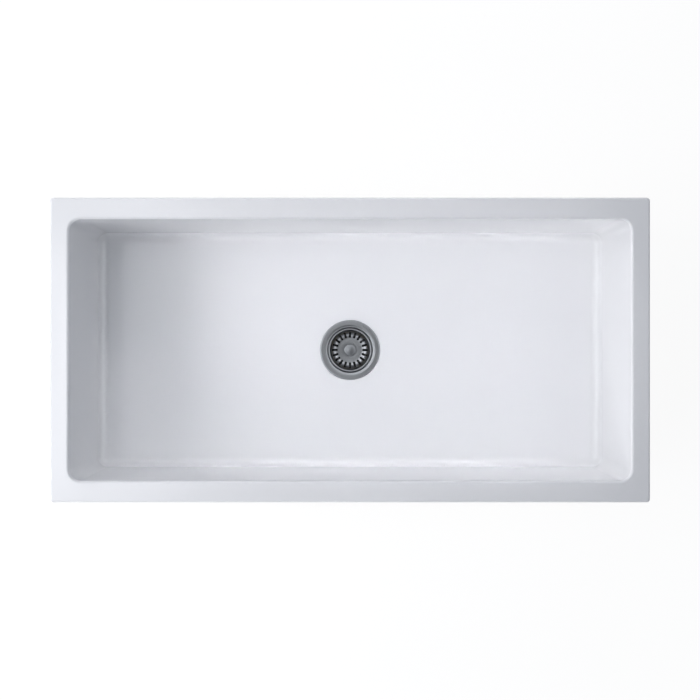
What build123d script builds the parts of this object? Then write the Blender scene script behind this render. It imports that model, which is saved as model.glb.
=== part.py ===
from build123d import *
import math
import os

# Farmhouse apron front sink: one glazed fireclay casting with a 90 mm basket strainer waste.
# Millimetres, +Z up. The origin is on the drain's axis at the level of the sink's underside,
# +X runs along the sink and -Y points out of the apron front.

# The casting
sink_length = 1000.0
sink_width = 508.0
bowl_depth = 228.0
floor_thickness = 26.0
side_wall = 32.0
front_wall = 36.0
back_wall = 36.0
bowl_draft = 0.3
bowl_corner_radius = 20.0
bowl_floor_fillet = 18.0
rim_outer_round = 4.0
rim_inner_round = 4.5
apron_corner_round = 6.0
base_edge_round = 5.0
drain_hole_radius = 45.0
drain_edge_round = 5.0
drain_floor_thickness = 18.0
recess_margin = 12.0
recess_root_fillet = 4.0

# Clearances: pieces that move keep the running gap, pieces that are fitted keep the fit gap
running_gap = 0.3
fit_gap = 0.1

# The pressed steel waste dish, stepped inwards from the drain hole, and the seal under its lip
dish_sheet = 1.0
lip_width = 11.0
lip_bend = 1.8
flange_seal_thickness = 2.0
flange_seal_margin = 2.5
mouth_flare = 2.4
mouth_drop = 1.1
mouth_bend = 1.0
cup_gap = 2.3
ledge_width = 9.2
ledge_bend = 1.0
sump_taper = 2.0
sump_depth = 15.0
press_bend = 2.0
dish_hole_radius = 5.5
dish_hole_count = 8

# The moulded waste body under the sink
body_seal_thickness = 3.0
body_seal_width = 8.0
body_seal_round = 0.6
body_cup_margin = 5.0
body_flange_width = 8.0
body_flange_thickness = 4.0
body_flange_round = 1.0
body_flange_root = 2.0
body_wall = 3.5
body_bend = 5.0
outlet_radius = 23.9
outlet_wall = 3.4
outlet_length = 30.0
hub_radius = 10.0
hub_drop = 4.0
hub_length = 18.0
funnel_margin = 1.3
spider_rib = 3.0
spider_rib_count = 4
grip_rib_count = 16
grip_rib_width = 3.0
grip_rib_height = 2.0
grip_rib_length = 17.0

# The centre screw, its seal and the brass nut in the hub
screw_radius = 3.9
screw_tip = 1.0
screw_seal_margin = 0.5
screw_seal_thickness = 1.5
screw_collar_radius = 8.0
screw_collar_thickness = 1.4
screw_head_wall = 1.9
screw_mouth_gap = 1.0
coin_slot_width = 2.0
coin_slot_depth = 2.0
nut_across_flats = 11.0
nut_length = 14.0

# The pressed steel basket, stepped inwards from the cup
basket_sheet = 0.8
basket_side_gap = 2.3
basket_rim_width = 2.3
basket_rim_curl = 2.4
basket_rim_bend = 1.0
basket_rim_sink = 2.5
basket_wall_taper = 3.1
basket_base_drop = 17.5
basket_base_bend = 16.0
slot_count = 20
slot_width = 4.3
slot_length = 11.0
slot_outer_margin = 1.0

# The rubber plug seal, its backing plate and the bush that holds them to the basket
seal_hub_radius = 12.0
seal_hub_height = 6.0
seal_overlap = 4.0
seal_flap_thickness = 1.8
seal_lip_thickness = 1.2
seal_lip_round = 0.4
seal_hub_root = 1.5
seal_hub_round = 0.5
plate_margin = 9.5
plate_thickness = 1.0
bush_wall = 1.7
bush_collar_width = 3.0
bush_collar_thickness = 1.0
bush_rivet_width = 2.0
bush_rivet_thickness = 1.0
bush_round = 0.5

# The stem, its rings and clip, and the knob
stem_radius = 3.0
stem_end_gap = 1.0
stem_tip = 0.6
ring_wire = 0.65
ring_groove_depth = 0.9
ring_first_rise = 2.2
ring_pitch = 2.6
ring_count = 2
clip_thickness = 0.8
clip_width = 3.2
clip_groove_depth = 0.7
clip_mouth = 3.6
knob_neck_wall = 1.4
knob_neck_height = 6.0
knob_radius = 10.75
knob_edge = 5.4
knob_edge_round = 1.2
knob_underside_rise = 1.2
knob_dome = 1.8
knob_thread_depth = 11.0

# Radii worked out from the sizes above
foot_corner_radius = bowl_corner_radius - bowl_depth * math.tan(math.radians(bowl_draft))
lip_radius = drain_hole_radius + lip_width
mouth_radius = drain_hole_radius + mouth_flare
cup_radius = drain_hole_radius - cup_gap
ledge_radius = cup_radius - ledge_width
sump_radius = ledge_radius - sump_taper
body_cup_radius = drain_hole_radius + body_cup_margin
body_flange_radius = body_cup_radius + body_flange_width
recess_radius = body_flange_radius + recess_margin
basket_rim_radius = cup_radius - basket_side_gap
basket_wall_radius = basket_rim_radius - basket_rim_width
basket_base_radius = basket_wall_radius - basket_wall_taper
slot_outer_radius = basket_base_radius - slot_outer_margin
seal_flap_radius = ledge_radius + seal_overlap
plate_radius = sump_radius - plate_margin
bush_bore = stem_radius + running_gap
bush_radius = bush_bore + bush_wall
ring_seat_radius = stem_radius - ring_groove_depth
clip_seat_radius = stem_radius - clip_groove_depth
screw_bore = ring_seat_radius + 2 * ring_wire + running_gap
screw_head_radius = screw_bore + screw_head_wall
screw_hole_radius = screw_radius + running_gap
screw_seal_radius = screw_collar_radius + screw_seal_margin
dish_hole_circle = (screw_seal_radius + sump_radius) / 2

# Levels worked out from the sizes above
sink_height = bowl_depth + floor_thickness
floor_level = floor_thickness
clamp_level = floor_thickness - drain_floor_thickness
lip_level = floor_level + flange_seal_thickness
basket_rim_level = floor_level - basket_rim_sink
basket_base_level = basket_rim_level - basket_base_drop
seal_bottom = basket_base_level - basket_sheet / 2 - seal_hub_height
plate_bottom = seal_bottom - plate_thickness
bush_bottom = plate_bottom - bush_rivet_thickness
bush_top = basket_base_level + basket_sheet / 2 + bush_collar_thickness
ledge_level = seal_bottom - running_gap - dish_sheet / 2
dish_floor_level = ledge_level - sump_depth
screw_collar_bottom = dish_floor_level + dish_sheet / 2 + screw_seal_thickness
screw_head_bottom = screw_collar_bottom + screw_collar_thickness
hub_top = dish_floor_level - dish_sheet / 2 - hub_drop
hub_bottom = hub_top - hub_length
nut_bottom = hub_top - nut_length
clip_top = bush_bottom - running_gap
clip_bottom = clip_top - clip_thickness
screw_top = clip_bottom - screw_mouth_gap
stem_bottom = screw_head_bottom + stem_end_gap
knob_bottom = bush_top + running_gap
knob_shelf = knob_bottom + knob_neck_height
body_top = clamp_level - body_seal_thickness
body_cup_bottom = hub_top - funnel_margin
outlet_top = hub_bottom - funnel_margin
outlet_bottom = outlet_top - outlet_length

os.makedirs("parts", exist_ok=True)


def save(name, part):
    """Label a finished piece and write its STEP file."""
    part.label = name
    export_step(part, f"parts/{name}.step")


def outline(points, bends):
    """A closed outline of (radius, height) points, rounded at each corner by its bend."""
    with BuildSketch(Plane.XZ) as profile:
        with BuildLine():
            FilletPolyline(*points, radius=bends, close=True)
        make_face()
    return profile.sketch


def sheet(points, bends, thickness):
    """Sheet metal of one thickness along a centre line of (radius, height) points."""
    with BuildSketch(Plane.XZ) as profile:
        with BuildLine():
            FilletPolyline(*points, radius=bends)
        trace(line_width=thickness)
    return profile.sketch


def washer(inner, outer, bottom, top, bend=0.0):
    """The cross-section of a flat ring between two radii and two levels."""
    corners = [(inner, bottom), (outer, bottom), (outer, top), (inner, top)]
    return outline(corners, [bend] * 4)


# The sink is one fireclay casting: a thick rim, near vertical walls and a flat floor.
# The waste is centred in the bowl, so the block around it shifts when front and back differ.
# The floor's fillet stays a little under the radius of the bowl's upright corners.
block_centre = (back_wall - front_wall) / 2
corner_share = 0.97
with BuildPart() as sink_body:
    with BuildSketch(Plane.XY):
        with Locations((0, block_centre)):
            RectangleRounded(sink_length, sink_width, apron_corner_round)
    extrude(amount=sink_height)
    fillet(faces().sort_by(Axis.Z)[0].edges(), base_edge_round)
    fillet(faces().sort_by(Axis.Z)[-1].edges(), rim_outer_round)
    with BuildSketch(Plane.XY.offset(sink_height)):
        RectangleRounded(
            sink_length - 2 * side_wall,
            sink_width - front_wall - back_wall,
            bowl_corner_radius,
        )
    extrude(amount=-bowl_depth, taper=bowl_draft, mode=Mode.SUBTRACT)
    bowl_floor = faces().filter_by(GeomType.PLANE).filter_by_position(
        Axis.Z, floor_level - fit_gap, floor_level + fit_gap
    )
    fillet(bowl_floor.edges(), min(bowl_floor_fillet, corner_share * foot_corner_radius))
    rim_face = faces().sort_by(Axis.Z)[-1]
    fillet(rim_face.inner_wires()[0].edges(), rim_inner_round)
    with BuildSketch(Plane.XY):
        Circle(recess_radius)
    extrude(amount=clamp_level, mode=Mode.SUBTRACT)
    recess_roof = faces().filter_by(GeomType.PLANE).filter_by_position(
        Axis.Z, clamp_level - fit_gap, clamp_level + fit_gap
    )
    fillet(recess_roof.edges(), recess_root_fillet)
    with BuildSketch(Plane.XY.offset(clamp_level)):
        Circle(drain_hole_radius)
    extrude(amount=floor_level - clamp_level, mode=Mode.SUBTRACT)
    drained_floor = faces().filter_by(GeomType.PLANE).filter_by_position(
        Axis.Z, floor_level - fit_gap, floor_level + fit_gap
    )[0]
    fillet(drained_floor.inner_wires()[0].edges(), drain_edge_round)
save("sink_body", sink_body.part)

# A soft flat ring seals the dish's lip to the glazed floor.
seal_inner = drain_hole_radius + drain_edge_round
with BuildPart() as flange_seal:
    revolve(washer(seal_inner, lip_radius - flange_seal_margin, floor_level, lip_level), axis=Axis.Z)
save("flange_seal", flange_seal.part)

# The waste dish is spun from one sheet: lip, sloping mouth, cup, seat for the plug and sump.
lip_centre = lip_level + dish_sheet / 2
mouth_bottom = lip_centre - mouth_drop
with BuildPart() as waste_flange:
    revolve(
        sheet(
            [
                (lip_radius - dish_sheet / 2, floor_level + running_gap),
                (lip_radius - dish_sheet / 2, lip_centre),
                (mouth_radius, lip_centre),
                (cup_radius, mouth_bottom),
                (cup_radius, ledge_level),
                (ledge_radius, ledge_level),
                (sump_radius, dish_floor_level),
                (screw_hole_radius, dish_floor_level),
            ],
            [lip_bend, mouth_bend, press_bend, press_bend, ledge_bend, press_bend],
            dish_sheet,
        ),
        axis=Axis.Z,
    )
    with BuildSketch(Plane.XY.offset(dish_floor_level + dish_sheet)):
        with PolarLocations(dish_hole_circle, dish_hole_count):
            Circle(dish_hole_radius)
    extrude(amount=-2 * dish_sheet, mode=Mode.SUBTRACT)
save("waste_flange", waste_flange.part)

# A thick rubber ring seals the waste body to the unglazed underside.
with BuildPart() as body_seal:
    revolve(
        washer(
            body_flange_radius - body_seal_width - fit_gap,
            body_flange_radius - fit_gap,
            body_top,
            clamp_level,
            bend=body_seal_round,
        ),
        axis=Axis.Z,
    )
save("body_seal", body_seal.part)

# The waste body is one moulding: flange, cup, funnel, threaded outlet and a spider with a hub.
cup_outside = [
    (body_flange_radius, body_top),
    (body_flange_radius, body_top - body_flange_thickness),
    (body_cup_radius, body_top - body_flange_thickness),
    (body_cup_radius, body_cup_bottom),
    (outlet_radius, outlet_top),
    (outlet_radius, outlet_bottom),
]
cup_inside = [
    (outlet_radius - outlet_wall, outlet_bottom),
    (outlet_radius - outlet_wall, outlet_top + body_wall / 2),
    (body_cup_radius - body_wall, body_cup_bottom + body_wall / 2),
    (body_cup_radius - body_wall, body_top),
]
flange_bends = [body_flange_round, body_flange_round, body_flange_root]
with BuildPart() as waste_body:
    with BuildSketch(Plane.XY.offset(hub_bottom)):
        with PolarLocations(body_cup_radius / 2, spider_rib_count):
            Rectangle(body_cup_radius, spider_rib)
        Circle(hub_radius)
    extrude(amount=hub_length)
    revolve(
        outline(
            [(0, body_top), (body_cup_radius - body_wall / 2, body_top)]
            + [(body_cup_radius - body_wall / 2, body_cup_bottom)]
            + [(outlet_radius - outlet_wall / 2, outlet_top), (0, outlet_top)],
            [0] * 5,
        ),
        axis=Axis.Z,
        mode=Mode.INTERSECT,
    )
    revolve(
        outline(
            cup_outside + cup_inside,
            flange_bends + [body_bend, body_bend, 0] + [0, body_bend, body_bend, 0],
        ),
        axis=Axis.Z,
    )
    with BuildSketch(Plane.XY.offset(body_top - body_flange_thickness - grip_rib_length)):
        with PolarLocations(body_cup_radius + grip_rib_height / 2 - body_wall / 4, grip_rib_count):
            Rectangle(grip_rib_height + body_wall / 2, grip_rib_width)
    extrude(amount=grip_rib_length)
    with BuildSketch(Plane.XY.offset(hub_bottom)):
        Circle(screw_radius + running_gap)
    extrude(amount=hub_length, mode=Mode.SUBTRACT)
    with BuildSketch(Plane.XY.offset(nut_bottom)):
        RegularPolygon(nut_across_flats / 2 + fit_gap, 6, major_radius=False)
    extrude(amount=nut_length, mode=Mode.SUBTRACT)
save("waste_body", waste_body.part)

# A long brass hexagon nut sits in the hub and takes the centre screw's thread.
with BuildPart() as hub_nut:
    with BuildSketch(Plane.XY.offset(nut_bottom)):
        RegularPolygon(nut_across_flats / 2, 6, major_radius=False)
        Circle(screw_radius + fit_gap, mode=Mode.SUBTRACT)
    extrude(amount=nut_length)
save("hub_nut", hub_nut.part)

# A rubber washer keeps water out of the screw hole in the dish.
with BuildPart() as screw_seal:
    revolve(
        washer(screw_hole_radius, screw_seal_radius, dish_floor_level + dish_sheet / 2, screw_collar_bottom),
        axis=Axis.Z,
    )
save("screw_seal", screw_seal.part)

# The centre screw pulls dish and body together; its hollow head guides the plug's stem.
screw_bottom = nut_bottom - screw_tip
with BuildPart() as centre_screw:
    revolve(
        outline(
            [
                (0, screw_bottom),
                (screw_radius - screw_tip, screw_bottom),
                (screw_radius, screw_bottom + screw_tip),
                (screw_radius, screw_collar_bottom),
                (screw_collar_radius, screw_collar_bottom),
                (screw_collar_radius, screw_head_bottom),
                (screw_head_radius, screw_head_bottom),
                (screw_head_radius, screw_top),
                (screw_bore, screw_top),
                (screw_bore, screw_head_bottom),
                (0, screw_head_bottom),
            ],
            [0] * 11,
        ),
        axis=Axis.Z,
    )
    with BuildSketch(Plane.XY.offset(screw_top)):
        Rectangle(2 * screw_collar_radius, coin_slot_width)
    extrude(amount=-coin_slot_depth, mode=Mode.SUBTRACT)
save("centre_screw", centre_screw.part)

# The basket is pressed from one sheet: curled rim, steep wall, flat base and a round bend with slots.
with BuildPart() as basket:
    revolve(
        sheet(
            [
                (basket_rim_radius, basket_rim_level - basket_rim_curl),
                (basket_rim_radius, basket_rim_level),
                (basket_wall_radius, basket_rim_level),
                (basket_base_radius, basket_base_level),
                (bush_radius + fit_gap, basket_base_level),
            ],
            [basket_rim_bend, basket_rim_bend, basket_base_bend],
            basket_sheet,
        ),
        axis=Axis.Z,
    )
    with BuildSketch(Plane.XY.offset(basket_base_level - basket_sheet)):
        with PolarLocations(slot_outer_radius - slot_length / 2, slot_count):
            SlotOverall(slot_length, slot_width)
    extrude(amount=basket_base_drop, mode=Mode.SUBTRACT)
save("basket", basket.part)

# The plug seal is one rubber moulding: a boss under the base and a flap that thins to a lip.
boss_top = basket_base_level - basket_sheet / 2
with BuildPart() as plug_seal:
    revolve(
        outline(
            [
                (bush_radius + fit_gap, seal_bottom),
                (seal_flap_radius, seal_bottom),
                (seal_flap_radius, seal_bottom + seal_lip_thickness),
                (plate_radius, seal_bottom + seal_flap_thickness),
                (seal_hub_radius, seal_bottom + seal_flap_thickness),
                (seal_hub_radius, boss_top),
                (bush_radius + fit_gap, boss_top),
            ],
            [0, seal_lip_round, seal_lip_round, 0, seal_hub_root, seal_hub_round, 0],
        ),
        axis=Axis.Z,
    )
save("plug_seal", plug_seal.part)

# A steel plate backs the seal.
with BuildPart() as seal_plate:
    revolve(washer(bush_radius + fit_gap, plate_radius, plate_bottom, seal_bottom), axis=Axis.Z)
save("seal_plate", seal_plate.part)

# A brass bush is riveted through base, seal and plate; the stem turns in its bore.
with BuildPart() as stem_bush:
    revolve(
        outline(
            [
                (bush_bore, bush_bottom),
                (bush_radius + bush_rivet_width, bush_bottom),
                (bush_radius + bush_rivet_width, plate_bottom),
                (bush_radius, plate_bottom),
                (bush_radius, basket_base_level + basket_sheet / 2),
                (bush_radius + bush_collar_width, basket_base_level + basket_sheet / 2),
                (bush_radius + bush_collar_width, bush_top),
                (bush_bore, bush_top),
            ],
            [0, bush_round, 0, 0, 0, 0, bush_round, 0],
        ),
        axis=Axis.Z,
    )
save("stem_bush", stem_bush.part)

# The stem screws up into the knob and hangs in the bush on its clip.
stem_top = knob_bottom + knob_thread_depth
ring_levels = [stem_bottom + ring_first_rise + ring_pitch * turn for turn in range(ring_count)]
with BuildPart() as plug_stem:
    with BuildSketch(Plane.XY.offset(stem_bottom)):
        Circle(stem_radius)
    extrude(amount=stem_top - stem_bottom)
    chamfer(edges().sort_by(Axis.Z)[0], stem_tip)
    clip_groove = (clip_bottom - fit_gap, clip_top + fit_gap)
    ring_grooves = [(level - ring_wire - fit_gap, level + ring_wire + fit_gap) for level in ring_levels]
    for seat, groove in [(clip_seat_radius, clip_groove)] + [(ring_seat_radius, g) for g in ring_grooves]:
        revolve(washer(seat, stem_radius + fit_gap, *groove), axis=Axis.Z, mode=Mode.SUBTRACT)
save("plug_stem", plug_stem.part)

# Two rubber rings grip the hollow screw when the plug is pushed home.
with BuildPart() as stem_rings:
    for level in ring_levels:
        with BuildSketch(Plane.XZ) as ring_section:
            with Locations((ring_seat_radius + ring_wire, level)):
                Circle(ring_wire)
        revolve(axis=Axis.Z)
save("stem_rings", stem_rings.part)

# A spring steel clip snaps into the stem's upper groove, under the bush.
with BuildPart() as stem_clip:
    with BuildSketch(Plane.XY.offset(clip_bottom)):
        Circle(clip_seat_radius + fit_gap + clip_width)
        Circle(clip_seat_radius + fit_gap, mode=Mode.SUBTRACT)
        with Locations((0, -stem_radius - clip_width)):
            Rectangle(clip_mouth, 2 * (stem_radius + clip_width), mode=Mode.SUBTRACT)
    extrude(amount=clip_thickness)
save("stem_clip", stem_clip.part)

# The knob is a turned mushroom with a domed top and a blind threaded hole.
knob_rim_bottom = knob_shelf + knob_underside_rise
knob_rim_top = knob_rim_bottom + knob_edge
knob_top = knob_rim_top + knob_dome
dome_curve = (knob_radius**2 + knob_dome**2) / (2 * knob_dome)
with BuildPart() as knob:
    with BuildSketch(Plane.XZ):
        with BuildLine():
            Polyline(
                (0, knob_top),
                (0, knob_bottom),
                (stem_radius + knob_neck_wall, knob_bottom),
                (stem_radius + knob_neck_wall, knob_shelf),
                (knob_radius, knob_rim_bottom),
                (knob_radius, knob_rim_top),
            )
            RadiusArc((knob_radius, knob_rim_top), (0, knob_top), -dome_curve)
        make_face()
        fillet(vertices().group_by(Axis.X)[-1].sort_by(Axis.Y)[-1], knob_edge_round)
    revolve(axis=Axis.Z)
    with BuildSketch(Plane.XY.offset(knob_bottom)):
        Circle(stem_radius + fit_gap / 2)
    extrude(amount=knob_thread_depth, mode=Mode.SUBTRACT)
save("knob", knob.part)
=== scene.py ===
# A farmhouse apron front sink: one glazed fireclay casting and its 90 mm basket strainer waste.
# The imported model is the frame: metres, origin on the drain's axis at the level of the sink's
# underside, +X along the sink, -Y out of the apron front, +Z up. Sizes here are in millimetres,
# and become metres as a mesh is made.

import bmesh
import bpy
import numpy as np
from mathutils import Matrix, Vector


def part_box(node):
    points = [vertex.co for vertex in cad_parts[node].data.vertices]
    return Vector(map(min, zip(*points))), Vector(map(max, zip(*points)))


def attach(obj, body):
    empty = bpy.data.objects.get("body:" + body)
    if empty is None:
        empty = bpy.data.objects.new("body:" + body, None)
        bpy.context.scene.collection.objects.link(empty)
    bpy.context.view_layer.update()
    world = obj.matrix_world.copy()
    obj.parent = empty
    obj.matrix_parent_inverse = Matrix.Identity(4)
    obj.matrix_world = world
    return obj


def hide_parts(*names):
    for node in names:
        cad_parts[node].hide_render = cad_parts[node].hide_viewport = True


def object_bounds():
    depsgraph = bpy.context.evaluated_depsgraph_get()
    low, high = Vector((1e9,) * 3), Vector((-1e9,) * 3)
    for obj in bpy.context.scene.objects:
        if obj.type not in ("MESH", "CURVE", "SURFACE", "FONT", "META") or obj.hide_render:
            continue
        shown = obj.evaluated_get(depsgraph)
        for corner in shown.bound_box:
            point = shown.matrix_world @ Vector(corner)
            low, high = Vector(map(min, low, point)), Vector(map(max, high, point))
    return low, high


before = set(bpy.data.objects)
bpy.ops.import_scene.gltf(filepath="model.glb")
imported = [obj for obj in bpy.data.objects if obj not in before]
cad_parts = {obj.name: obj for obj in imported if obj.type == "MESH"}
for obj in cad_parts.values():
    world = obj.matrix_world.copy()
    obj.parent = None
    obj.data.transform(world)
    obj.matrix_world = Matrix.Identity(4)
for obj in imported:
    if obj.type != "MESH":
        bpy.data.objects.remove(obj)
cad_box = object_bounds()
mm = 0.001


# ---- Camera ----
# The sink was photographed from straight above its drain, with the long side across the picture. The
# camera's height comes from how much smaller the bowl's floor looks than its rim.

focal_length_px = 1114.1
picture_px = 700
camera_height = 2107.7

view_settings = bpy.context.scene.view_settings
view_settings.view_transform = "Standard"
lens = bpy.data.cameras.new("camera")
lens.sensor_width = 36.0
lens.lens = lens.sensor_width * focal_length_px / picture_px
camera = bpy.data.objects.new("camera", lens)
camera.location = (0, 0, camera_height * mm)
bpy.context.scene.collection.objects.link(camera)
bpy.context.scene.camera = camera


# ---- Studio ----
# A pale floor just under the outlet, which only shows from above, softboxes round the sink, and a
# bright room that darkens towards the camera overhead. Gloss also mirrors a window on the left.
# Light is given in parts of white.

floor_size = 12000
floor_gap = 0.5
floor_paleness = 0.91
pale_within = 1000
white_beyond = 4000
shadow_depth = 0.14
floor_light = 0.42
fill_light = 0.225
room_light = 2.4
room_slant = 0.8
slant_azimuth = 105
dark_overhead = 15
ceiling_light = 0.3
least_light = 0.02
window_light = 1.4
window_middle = 1.6
window_foot = 2.5
window_offset = 0.012


def srgb(code):
    """A colour from its sRGB hex code. A channel c of up to 0.04045 is c / 12.92 in linear light, and any
    other is ((c + 0.055) / 1.055) to the power of 2.4."""
    channel = np.array([int(code[i : i + 2], 16) for i in (0, 2, 4)]) / 255
    linear = np.where(channel <= 0.04045, channel / 12.92, ((channel + 0.055) / 1.055) ** 2.4)
    return (*linear.tolist(), 1.0)


def feed(node, inputs):
    """Sets a node's inputs, each to a value or to the socket that feeds it."""
    for socket, value in inputs.items():
        if isinstance(value, bpy.types.NodeSocket):
            node.id_data.links.new(value, node.inputs[socket])
        else:
            node.inputs[socket].default_value = value


def add(tree, kind, inputs=None, **settings):
    """Adds a node with its inputs fed and its own options set, and returns its outputs. Its kind is the rest
    of a name that starts with ShaderNode."""
    node = tree.nodes.new("ShaderNode" + kind)
    for option, value in settings.items():
        setattr(node, option, value)
    feed(node, inputs or {})
    return node.outputs


def seen_directly(tree):
    """1 on rays from the camera, a reflection or a refraction, and 0 on the rays that carry soft light."""
    path = add(tree, "LightPath")
    either = add(tree, "Math", {0: path["Is Camera Ray"], 1: path["Is Glossy Ray"]}, operation="MAXIMUM")[0]
    return add(tree, "Math", {0: either, 1: path["Is Transmission Ray"]}, operation="MAXIMUM")[0]


room = bpy.data.worlds.new("white_room")
room.use_nodes = True
bpy.context.scene.world = room
tree = room.node_tree
tree.nodes.clear()
heading = add(tree, "TexCoord")["Generated"]
direction = add(tree, "SeparateXYZ", {0: heading})
off_middle = add(tree, "Math", {0: direction["Y"], 1: window_offset}, operation="ADD")
to_side = add(tree, "Math", {0: off_middle[0]}, operation="ABSOLUTE")[0]


def mirrored_light(level, *edges):
    """A light in the room as gloss mirrors it. An edge is a coordinate of the direction, its value where the
    light is gone and its value where it is full: a smooth step from 0 to 1. The light is its level times all
    of its edges."""
    strength = level
    for coordinate, gone, full in edges:
        fade = add(room.node_tree, "MapRange", {
            "Value": coordinate, "From Min": gone, "From Max": full,
        }, interpolation_type="SMOOTHSTEP")
        strength = add(room.node_tree, "Math", {0: fade[0], 1: strength}, operation="MULTIPLY")[0]
    return strength


# The room is dark within 15 degrees of straight up, full from 60 degrees on, and brighter to the back left.
# The window's edges are parts of a unit vector: X to the right, Y to the back.
right, up = direction["X"], direction["Z"]
overhead_edge = np.cos(np.radians(dark_overhead)).item()
lights = [
    mirrored_light(room_light - ceiling_light, (up, overhead_edge, 0.5)),
    mirrored_light(window_light, (right, -0.11, -0.21), (right, -0.37, -0.33), (to_side, 0.35, 0.25)),
    mirrored_light(window_middle, (right, -0.225, -0.25), (right, -0.37, -0.33), (to_side, 0.14, 0.075)),
    mirrored_light(window_foot, (right, -0.77, -0.79), (right, -0.88, -0.86), (to_side, 0.35, 0.25)),
]
azimuth = np.radians(slant_azimuth)
brighter_way = (np.cos(azimuth).item() * room_slant, np.sin(azimuth).item() * room_slant, 0)
slant = add(tree, "VectorMath", {0: heading, 1: brighter_way}, operation="DOT_PRODUCT")
reflected = add(tree, "Math", {0: slant["Value"], 1: ceiling_light}, operation="ADD")
for light in lights:
    reflected = add(tree, "Math", {0: reflected[0], 1: light}, operation="ADD")
reflected = add(tree, "Math", {0: reflected[0], 1: least_light}, operation="MAXIMUM")
soft = add(tree, "Background", {"Color": srgb("E6F0FF"), "Strength": fill_light})
mirrored = add(tree, "Background", {"Color": srgb("FAFCFF"), "Strength": reflected[0]})
white = add(tree, "Background", {"Color": srgb("FFFFFF"), "Strength": 1.0})
off_camera = add(tree, "MixShader", {0: seen_directly(tree), 1: soft[0], 2: mirrored[0]})
to_camera = add(tree, "LightPath")["Is Camera Ray"]
in_lens = add(tree, "MixShader", {0: to_camera, 1: off_camera[0], 2: white[0]})
add(tree, "OutputWorld", {"Surface": in_lens[0]})

# The floor is matt to soft light and lights the sink's sides from below. Seen directly it is a pale glow,
# which turns white far off, and a little matt white on top of it takes the sink's shadow.
paper = bpy.data.materials.new("white_floor")
paper.use_nodes = True
tree = paper.node_tree
tree.nodes.clear()
matt = add(tree, "BsdfDiffuse", {"Color": srgb("959595")})
from_below = add(tree, "Emission", {"Color": srgb("FFFFFF"), "Strength": floor_light})
lighting = add(tree, "AddShader", {0: matt[0], 1: from_below[0]})
shadow = add(tree, "BsdfDiffuse", {"Color": (shadow_depth, shadow_depth, shadow_depth, 1)})
place = add(tree, "TexCoord")["Object"]
far = add(tree, "VectorMath", {0: place}, operation="LENGTH")
paleness = add(tree, "MapRange", {
    "Value": far["Value"], "From Min": pale_within * mm, "From Max": white_beyond * mm,
    "To Min": floor_paleness, "To Max": 1.0,
}, interpolation_type="SMOOTHSTEP")
glow = add(tree, "Emission", {"Color": srgb("FFFFFF"), "Strength": paleness[0]})
seen = add(tree, "AddShader", {0: glow[0], 1: shadow[0]})
upper = add(tree, "MixShader", {0: seen_directly(tree), 1: lighting[0], 2: seen[0]})
clear = add(tree, "BsdfTransparent")
under = add(tree, "NewGeometry")["Backfacing"]
look = add(tree, "MixShader", {0: under, 1: upper[0], 2: clear[0]})
add(tree, "OutputMaterial", {"Surface": look[0]})

floor_level = cad_box[0].z - floor_gap * mm
floor_reach = floor_size * mm / 2
quarters = ((-1, -1), (1, -1), (1, 1), (-1, 1))
floor_corners = [(x * floor_reach, y * floor_reach, floor_level) for x, y in quarters]
floor_mesh = bpy.data.meshes.new("floor")
floor_mesh.from_pydata(floor_corners, [], [(0, 1, 2, 3)])
floor_mesh.materials.append(paper)
floor = bpy.data.objects.new("floor", floor_mesh)
bpy.context.scene.collection.objects.link(floor)


def from_drain(distance, azimuth, elevation):
    """A place so many millimetres from the drain, with its azimuth counted from the right to the back."""
    azimuth, elevation = np.radians(azimuth), np.radians(elevation)
    way = (np.cos(elevation) * np.cos(azimuth), np.cos(elevation) * np.sin(azimuth), np.sin(elevation))
    return [distance * part for part in way]


def softbox(name, place, target, size, radiance, grid=180):
    """A rectangular lamp that faces a target and lights it softly. Its power is radiance x pi x area, and a
    grid before it narrows that light to a beam of so many degrees. It casts no shape into gloss and metal."""
    lamp = bpy.data.lights.new(name, "AREA")
    lamp.shape = "RECTANGLE"
    lamp.size, lamp.size_y = size[0] * mm, size[1] * mm
    lamp.energy = radiance * np.pi * lamp.size * lamp.size_y
    lamp.color = srgb("FCFCFF")[:3]
    lamp.spread = np.radians(grid)
    box = bpy.data.objects.new(name, lamp)
    box.location = [length * mm for length in place]
    aim = Vector([(end - start) * mm for start, end in zip(place, target)])
    box.rotation_euler = aim.to_track_quat("-Z", "Y").to_euler()
    box.visible_glossy = False
    bpy.context.scene.collection.objects.link(box)


# Most light comes from the left. Softboxes stand round the sink, and gridded ones shine into the bowl.
drain = (0, 0, 0)
softbox("left_window", from_drain(4000, 180, 37), drain, (2500, 700), 4.4)
softbox("high_left_window", from_drain(4000, 180, 47), drain, (2130, 700), 5.6)
softbox("front_left_softbox", from_drain(1950, 225, 37), drain, (1220, 340), 8.7)
softbox("back_left_softbox", from_drain(1950, 135, 26), drain, (1380, 410), 3.05)
softbox("back_softbox", from_drain(1950, 90, 47), drain, (1040, 340), 4.2)
softbox("grid_over_bowl", from_drain(1950, 0, 90), drain, (800, 300), 0.26, grid=10)
softbox("high_grid_on_back_wall", (0, -1000, 1950), (0, 160, 100), (800, 120), 0.14, grid=8)
softbox("low_grid_on_back_wall", (300, -1700, 1200), (200, 218, 95), (500, 120), 0.18, grid=8)
softbox("high_grid_on_front_wall", (0, 1000, 1950), (0, -160, 100), (800, 120), 0.14, grid=8)
softbox("low_grid_on_front_wall", (0, 1700, 1200), (0, -218, 95), (800, 120), 0.36, grid=8)


# ---- The casting ----
# One slip-cast block of fireclay, fired with a thick opaque white glaze. Its rim is flat, its walls
# nearly upright, and its bare underside rests on the cabinet, with a recess round the drain.

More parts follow.
